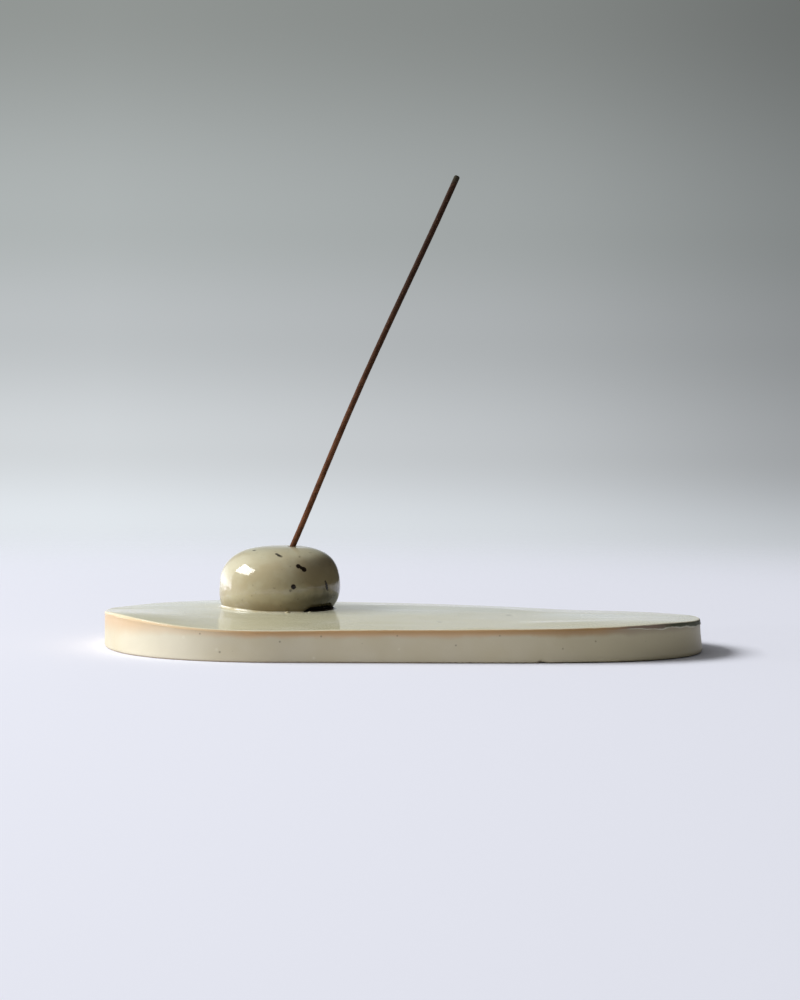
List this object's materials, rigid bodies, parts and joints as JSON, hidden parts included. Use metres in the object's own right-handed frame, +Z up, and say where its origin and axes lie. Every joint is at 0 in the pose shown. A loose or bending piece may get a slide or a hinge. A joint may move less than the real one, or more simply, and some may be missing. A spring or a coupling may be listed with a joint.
{
  "type": "incense stick holder",
  "caption": "Oblong glazed stoneware tray with a round glazed pebble fused on its deck, whose slanted bore holds an incense stick over the tray.",
  "frame": {"origin": "centre of the tray's underside, in the plane that stands on the table", "axes": "+X along the tray towards its narrow end, the way the stick leans; +Y towards the long side that the pebble stands nearer to; +Z up"},
  "size_m": [0.19, 0.1, 0.151],
  "materials": {
    "stoneware": "satin cream glaze, thin and tan under the deck's lip",
    "deck_glaze": "glossy grey-green glaze",
    "pebble_glaze": "glossy olive glaze with dark iron specks",
    "incense": "matte, fine grained"
  },
  "bodies": {
    "holder": {"tray": "stoneware", "deck_glaze": "deck_glaze", "pebble": "pebble_glaze", "glaze_seam": "deck_glaze"},
    "stick": {"incense_stick": "incense"}
  },
  "joints": [
    {"name": "stick_pull", "type": "slide", "parent": "holder", "child": "stick", "axis": [0.3955, 0, 0.9184], "range_m": [0, 0.0088]}
  ]
}
